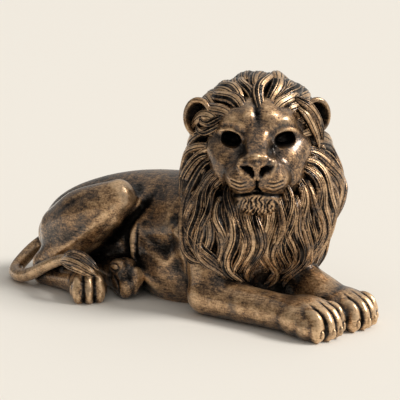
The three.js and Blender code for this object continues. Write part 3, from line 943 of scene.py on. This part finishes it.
def ear(side):
    """A cup: its back bulges as an ellipse, its rim is rolled and its hollow is shallow. The grid's
    rows run from the back's pole over the rim to the hollow's bottom. Returns points, faces, crests."""
    back = np.linspace(0, math.pi / 2, 16)[1:]
    roll = np.linspace(0, math.pi, 9)[1:]
    dish = 1 - np.linspace(0, 1, 14)[1:-1]
    radius = np.concatenate([np.sin(back), 1 - 0.13 * (1 - np.cos(roll)), 0.74 * dish])
    depth = np.concatenate([-0.75 * np.cos(back), 0.17 * np.sin(roll), -0.62 * np.sqrt(1 - dish**2.2)])
    crest = np.concatenate([np.linspace(0.3, 0.6, 15), 0.55 + 0.2 * np.sin(roll), 0.3 * dish**4])
    turn = np.linspace(0, 2 * math.pi, 48, endpoint=False)
    radius = radius[:, None] * (1 + 0.16 * np.cos(turn))
    x = depth[:, None] + 0 * turn
    y = 0.92 * radius * np.sin(turn)
    z = 1.12 * radius * np.cos(turn)
    points = np.vstack([np.stack([x, y, z], -1).reshape(-1, 3), [[-0.75, 0, 0], [-0.62, 0, 0]]])
    points *= EAR_RADIUS * EAR_SCALE[side]
    points = points @ turning(side * EAR_TURN, EAR_TIP).T + [7, EAR_OUT[side], EAR_HEIGHT + side]
    faces = facing_out(points, tube_faces(len(depth), len(turn)))
    return points, faces, np.concatenate([np.repeat(crest, len(turn)), [0.3, 0.0]])


FACE_RELIEF = [(6, 0.12, 0.16), (60, 0.6, 0.18), (400, 1.8, 0.10)]
face_crest_and_shade = 0.50 + relief(mask.points, mask.normals(), mask.mean, FACE_RELIEF)
# Painted shade: the dark of the drawn lines, and the eye hollows, darkest under the upper lid and less on
# the lower wall, where light falls.
face_crest_and_shade -= 0.5 * mask.shade + socket * (0.9 - 0.45 * lower_wall)
mask.points[:, 0] -= socket * EYE_DEPTH
ears = [ear(1), ear(-1)]
head_points, head_faces = stacked([(mask.points, mask.faces), *[one[:2] for one in ears]])
head_crest_and_shade = np.concatenate([face_crest_and_shade, *[one[2] for one in ears]])
finished("lion_head", head_points @ FACE.T + FACE_CENTRE, head_faces, head_crest_and_shade)


# The mane: long locks of carved hair in rings round the face, swept back over the crown and falling
# down the sides in S curves. Each lock is a flat bar of parallel strands that draws out to a point.
# The angle between a ring's roots and the way the face looks, at the turn t round it from the crown, is
# level + tilt * cos(t) + waist * cos(2 t) degrees, and bottom is how low a lock may reach. From in front
# the mane is MANE_HALF wide on either side of MANE_AXIS, and narrows by MANE_TAPER below MANE_WAIST.
LOCK_RINGS = [
    {"open": (40, 10, -1), "count": 30, "length": 104, "width": 5.6, "thick": 6.0, "bottom": -105},
    {"open": (49, 11, 0), "count": 30, "length": 108, "width": 6.2, "thick": 6.5, "bottom": -105},
    {"open": (61, 12, 1), "count": 28, "length": 112, "width": 7.0, "thick": 7.0, "bottom": -105},
    {"open": (73, 10, 0), "count": 26, "length": 112, "width": 7.6, "thick": 7.0, "bottom": -98},
    {"open": (85, 8, 0), "count": 24, "length": 100, "width": 8.4, "thick": 7.0, "bottom": -78},
    {"open": (101, 6, 0), "count": 20, "length": 104, "width": 9.2, "thick": 6.5, "bottom": -56},
    {"open": (120, 5, 0), "count": 18, "length": 106, "width": 10, "thick": 6.5, "bottom": -62},
    {"open": (142, 3, 0), "count": 14, "length": 96, "width": 11, "thick": 6.5, "bottom": -62},
    {"open": (162, 0, 0), "count": 8, "length": 96, "width": 11, "thick": 6.5, "bottom": -62},
]
# The first ring's roots are sunk less, and beside the eyes, by the cosine of the turn, it has no locks.
LOCK_RINGS[0].update(sink=3, bare=(0.1, 0.85))
ROOT_SINK = 4
MANE_AXIS = 5
MANE_HALF = 58
MANE_WAIST = 50
MANE_TAPER = 20
LOCK_STEPS = 38
SWAY = 0.75
SWAY_LENGTH = 54
STRAND = 3.6
TOP_SAMPLES = 32
BELOW_SAMPLES = 4
HOOD_BLEND = 5.0
OUTSIDE_MANE = 150.0
BREAST = {"centre": [39, -34, 62], "half": [22, 17, 40], "tip": -0.2}


def under_mane():
    """The masses that the mane lies on, in the head's frame: its bulk, the right breast and the chest."""
    masses = [ball(**one) for one in HOOD]
    for one in (BREAST, CHEST):
        centre = in_head(np.array(one["centre"]))
        masses.append({"centre": centre, "half": one["half"], "axes": HEAD.T @ turning(0, one["tip"])})
    return masses


UNDER_MANE = under_mane()


def stand_off(points):
    """How far points stand off the masses under the mane."""
    return blended_distance(points, UNDER_MANE, HOOD_BLEND)


def outward(points):
    """The unit direction in which the stand-off grows fastest."""
    step = 0.5 * np.eye(3)
    rise = np.stack([stand_off(points + s) - stand_off(points - s) for s in step], -1)
    return unit(rise)


def trace_locks(turn, open_angle, length, sway_phase, sink, lift):
    """The lines of many locks at once, as arrays of lock by step by xyz, with the outward direction at
    each. A lock sets out away from the face, sunk at its root, then falls and sways from side to side,
    and is kept on the bulk. Over the crown it lies down at its end and runs back and sideways."""
    to_root = np.stack(
        [np.cos(open_angle), np.sin(open_angle) * np.sin(turn), np.sin(open_angle) * np.cos(turn)], -1
    )
    reach = np.full(len(turn), OUTSIDE_MANE)
    for _ in range(30):
        reach -= stand_off(HOOD_MIDDLE + to_root * reach[:, None])
    at = HOOD_MIDDLE + to_root * reach[:, None]
    crown = np.clip(np.cos(turn), 0, 1)
    over_top = np.clip(np.cos(turn) + 0.2, 0, 1)
    line, ups = [], []
    for i in range(LOCK_STEPS + 1):
        share = i / LOCK_STEPS
        up = outward(at)
        gap = lift - sink * math.exp(-share / 0.12) - 4 * over_top * share**3 - stand_off(at)
        at = at + up * np.where(gap > -3, gap, gap * 0.25)[:, None]
        line.append(at)
        ups.append(up)
        away = at - HOOD_MIDDLE
        away[:, 0] = 0
        away = unit(away)
        behind = np.clip((-16 - at[:, 0]) / 24, 0, 1)
        fall = np.clip(0.42 - 0.52 * np.cos(turn) + share * (2.2 - 1.5 * crown), 0, 1)
        fall = np.maximum(fall, behind)[:, None]
        course = away * (1 - fall)
        low = np.clip((-at[:, 2] - MANE_WAIST) / MANE_WAIST, 0, 1)
        spread = (at[:, 1] - MANE_AXIS) / (MANE_HALF - MANE_TAPER * low**1.6)
        narrowing = MANE_TAPER * 1.6 / MANE_WAIST * low**0.6 * np.minimum(np.abs(spread), 1)
        inward = -spread * (narrowing + 6 * np.clip(np.abs(spread) - 0.95, 0, 1))
        sideways = 0.45 * crown * np.sin(2 * turn)
        backward = -0.15 * (1 - share) - 0.5 * crown
        course += np.column_stack([backward, inward + sideways, -fall[:, 0]])
        course = unit(course - up * np.sum(course * up, axis=1, keepdims=True))
        sway = SWAY * math.sqrt(share) * np.sin(2 * math.pi * (share * length / SWAY_LENGTH + sway_phase))
        course = course * np.cos(sway)[:, None] + np.cross(up, course) * np.sin(sway)[:, None]
        at = at + course * (length / LOCK_STEPS)[:, None]
    return np.stack(line, 1), np.stack(ups, 1)


def hair(line, up, width, thick, seeds, smooth=0.0):
    """Locks on their lines. Across a lock, s from -1 to 1, the top is an arch sqrt(1 - s^2) cut by n
    strands, |sin(pi n (s + 1) / 2)|, and the underside a shallow bow. Its width and thickness draw out
    to a point along it. Smooth locks have shallower strands and a brighter crest, which is painted
    light. Returns points, faces, how high each point stands in its strand, and its strand."""
    along = unit(np.gradient(line, axis=1))
    side = unit(np.cross(up, along))
    over = np.cross(along, side)
    share = np.linspace(0, 1, line.shape[1])
    taper = np.minimum(1, 0.55 + 1.8 * share) * (1 - share**3.4) ** 0.8
    taper = np.maximum(taper, 0.02)
    s_top = np.linspace(1, -1, TOP_SAMPLES)
    s_below = np.linspace(-1, 1, BELOW_SAMPLES + 2)[1:-1]
    s = np.concatenate([s_top, s_below])
    top = np.concatenate([np.ones(TOP_SAMPLES), np.zeros(BELOW_SAMPLES)])
    arch = np.sqrt(np.maximum(1 - s**2, 0))
    strands = np.maximum(3, np.round(2 * width / STRAND))[:, None, None]
    wander = 0.55 * np.sin(2 * math.pi * (share[None, :, None] * 1.4 + seeds[:, None, None]))
    uneven = 0.9 * np.sin(2 * math.pi * (1.3 * s[None, None, :] + 3 * seeds[:, None, None]))
    phase = math.pi * strands * (s[None, None, :] + 1) / 2 + (wander + uneven) * (1 - s**2)
    ridge = np.abs(np.sin(phase)) ** 0.85
    smooth = np.broadcast_to(smooth, len(line))[:, None, None]
    cut = 0.36 - 0.22 * smooth
    height = top * (arch - cut * (1 - ridge) * np.minimum(1, 2 * arch)) - (1 - top) * 0.4 * arch
    wide = (width[:, None] * taper)[:, :, None]
    high = (thick[:, None] * taper)[:, :, None]
    skin = line[:, :, None] + side[:, :, None] * (wide * s)[..., None]
    skin += over[:, :, None] * (high * height)[..., None]
    # Each lock's own tone, with painted light on the smooth ones.
    tone_and_painted_light = (0.86 + 0.14 * np.sin(40 * seeds)[:, None, None]) * (1 + 0.35 * smooth)
    crest = top * ridge**1.5 * (0.1 + 0.9 * arch) * tone_and_painted_light * np.ones_like(wide)
    sides = len(s)
    rows = line.shape[1]
    faces = tube_faces(rows, sides)
    points, crests, all_faces, strand = [], [], [], []
    for i in range(len(line)):
        tip = line[i, -1] + along[i, -1] * 0.5
        points.append(np.vstack([skin[i].reshape(-1, 3), line[i, :1] - along[i, :1] * 2, tip[None]]))
        crests.append(np.concatenate([crest[i].ravel(), [0.2, 0.6]]))
        strand.append(np.concatenate([phase[i].ravel(), [0, 0]]))
        all_faces.append(facing_out(points[-1], faces) + i * (rows * sides + 2))
    return np.vstack(points), np.vstack(all_faces), np.concatenate(crests), np.concatenate(strand)


def mane_ring(index):
    """One ring of locks, spread evenly round the face but for some chance, each shortened three times
    by the share of its line that lies above its bottom."""
    ring = LOCK_RINGS[index]
    count = ring["count"]
    rng = np.random.default_rng(100 + index)
    turn = (np.arange(count) + (index % 2) / 2 + rng.uniform(-0.25, 0.25, count)) / count * 2 * math.pi
    low, high = ring.get("bare", (1, 1))
    turn = turn[(np.cos(turn) < low) | (np.cos(turn) > high)]
    count = len(turn)
    over_top = np.clip(np.cos(turn), 0, 1)
    level, tilt, waist = ring["open"]
    open_angle = level + tilt * np.cos(turn) + waist * np.cos(2 * turn) + rng.uniform(-4, 4, count)
    length = ring["length"] * rng.uniform(0.8, 1.15, count) * (0.68 + 0.42 * np.sin(turn) ** 2)
    phase = 0.31 * index + 0.25 * np.sign(np.sin(turn)) + rng.uniform(-0.2, 0.2, count)
    lift = rng.choice([-1.6, 0.0, 1.6], count)
    sink = ring.get("sink", ROOT_SINK)
    bottom = ring["bottom"] + rng.uniform(-4, 12, count)
    for _ in range(3):
        line, up = trace_locks(turn, np.radians(open_angle), length, phase, sink, lift)
        length = length * np.clip(np.mean(line[:, :, 2] > bottom[:, None], axis=1), 0.2, 1)
    line, up = trace_locks(turn, np.radians(open_angle), length, phase, sink, lift)
    slim = np.clip(length / 60, 0.6, 1)
    width = ring["width"] * rng.uniform(0.75, 1.2, count) * slim
    thick = ring["thick"] * rng.uniform(0.85, 1.15, count) * slim * (1 - 0.3 * over_top)
    # The locks over the crown are smooth: shallower strands, with painted light on them.
    return hair(line, up, width, thick, rng.uniform(0, 1, count), over_top)


def mane_piece(name, indexes):
    """Some rings of locks as one piece, kept above the table."""
    made = [mane_ring(index) for index in indexes]
    points, faces = stacked([one[:2] for one in made])
    crest = 0.10 + 0.90 * np.concatenate([one[2] for one in made])
    strand = np.concatenate([one[3] for one in made])
    points = points @ HEAD.T + HEAD_CENTRE
    points[:, 2] = np.maximum(points[:, 2], 0)
    finished(name, points, faces, crest, strand=strand)


def lock_lines(paths):
    """The lines of locks on smooth paths."""
    return np.stack([smooth_path(path, np.linspace(0, 1, LOCK_STEPS + 1)) for path in paths])


# Curls of hair in the head's frame: two that pass before the left ear and two before the right one.
EAR_CURLS = [
    [[25, 29, 42], [25, 37, 37], [21, 44, 29], [16, 49, 19], [11, 52, 8]],
    [[25, 31, 35], [24, 37, 29], [20, 42, 21], [16, 46, 12], [12, 49, 2]],
    [[17, -27, 28], [17, -33, 25], [15, -39, 22], [13, -44, 23], [12, -46, 28]],
    [[17, -28, 22], [15, -35, 18], [12, -41, 15], [10, -46, 16], [9, -49, 21]],
]


def ear_curls():
    """The curls face forward and a little outward."""
    lines = lock_lines(EAR_CURLS)
    beside = np.sign(lines[:, :1, 1:2]) * 0.35
    ups = unit(np.broadcast_to([1.0, 0.0, 0.2], lines.shape) + beside * [0, 1, 0])
    width = np.array([4.6, 4.2, 3.6, 3.6])
    thick = np.array([4.0, 3.8, 3.0, 3.0])
    # Half smooth: shallower strands, with painted light on them.
    points, faces, crest, strand = hair(lines, ups, width, thick, np.array([0.1, 0.5, 0.3, 0.7]), 0.5)
    finished("ear_curls", points @ HEAD.T + HEAD_CENTRE, faces, 0.12 + 0.88 * crest, strand=strand)


ear_curls()
mane_piece("mane_front", (0, 1))
mane_piece("mane_cheeks", (2, 3))
mane_piece("mane_sides", (4, 5))
mane_piece("mane_back", (6, 7, 8))

# The tail's tuft: a brush of hair laid over the right hock.
TUFT_LOCKS = [
    [[-86, -77, 33], [-74, -80, 39], [-62, -82, 40], [-52, -81, 36], [-44, -79, 29]],
    [[-86, -78, 32], [-74, -82, 35], [-62, -84, 35], [-53, -83, 31], [-46, -81, 26]],
    [[-86, -78, 31], [-75, -81, 31], [-65, -83, 30], [-57, -82, 27], [-50, -80, 24]],
]


def tail_tuft():
    """Three locks over each other round the outer side of the hock."""
    lines = lock_lines(TUFT_LOCKS)
    outwards = unit(np.array([[0.2, -0.6, 0.8], [0.1, -0.9, 0.4], [0.0, -1.0, 0.0]]))
    ups = np.repeat(outwards[:, None], LOCK_STEPS + 1, axis=1)
    made = hair(lines, ups, np.full(3, 5.2), np.full(3, 3.6), np.array([0.1, 0.5, 0.8]))
    finished("tail_tuft", made[0], made[1], 0.12 + 0.88 * made[2], strand=made[3])


tail_tuft()
